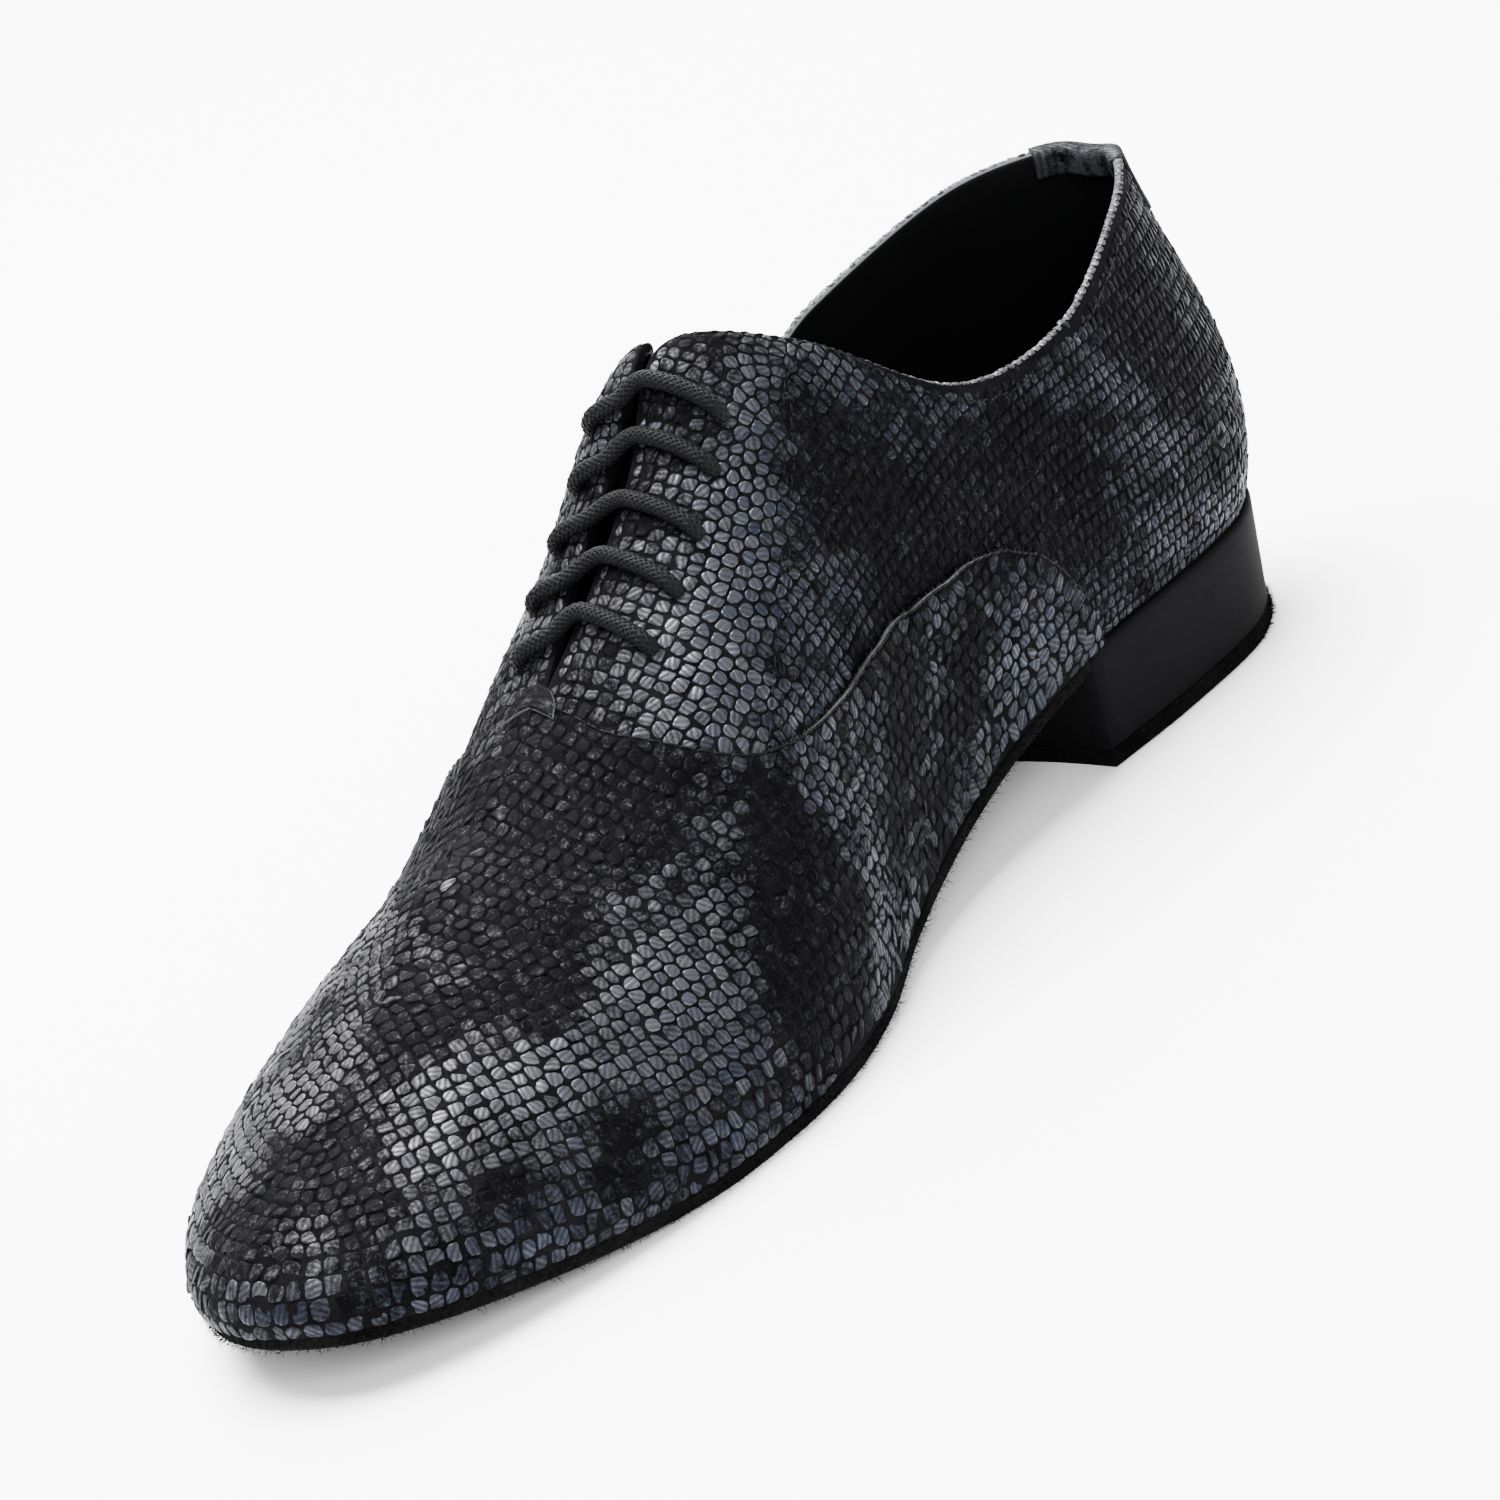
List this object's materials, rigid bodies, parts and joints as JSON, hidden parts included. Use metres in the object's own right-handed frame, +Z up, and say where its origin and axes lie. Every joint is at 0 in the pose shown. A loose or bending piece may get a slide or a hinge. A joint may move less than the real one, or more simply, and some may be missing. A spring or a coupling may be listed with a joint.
{
  "type": "dance shoe",
  "caption": "Man's closed-lacing ballroom dance shoe for the right foot, in black python-print suede, with straight-bar lacing, a thin suede sole and a low covered heel.",
  "frame": {"origin": "on the floor, under the middle of the shoe's bounding box", "axes": "+X towards the toe, +Y towards the inner side of the foot, +Z up; the shoe stands on its heel and forefoot at z = 0"},
  "size_m": [0.2948, 0.098, 0.1063],
  "materials": {
    "python_print_suede": "black suede with a raised python print in slate grey foil",
    "lining": "smooth black lining",
    "black_suede": "brushed black suede",
    "matte_heel_cover": "matte black cover",
    "waxed_cotton": "round braided black cord with a slight wax sheen"
  },
  "bodies": {
    "root": {"upper": "python_print_suede", "vamp": "python_print_suede", "tongue": "python_print_suede", "back_strip": "python_print_suede", "insole": "lining", "outsole": "black_suede", "top_piece": "black_suede", "heel": "matte_heel_cover", "lace": "waxed_cotton"}
  },
  "joints": []
}
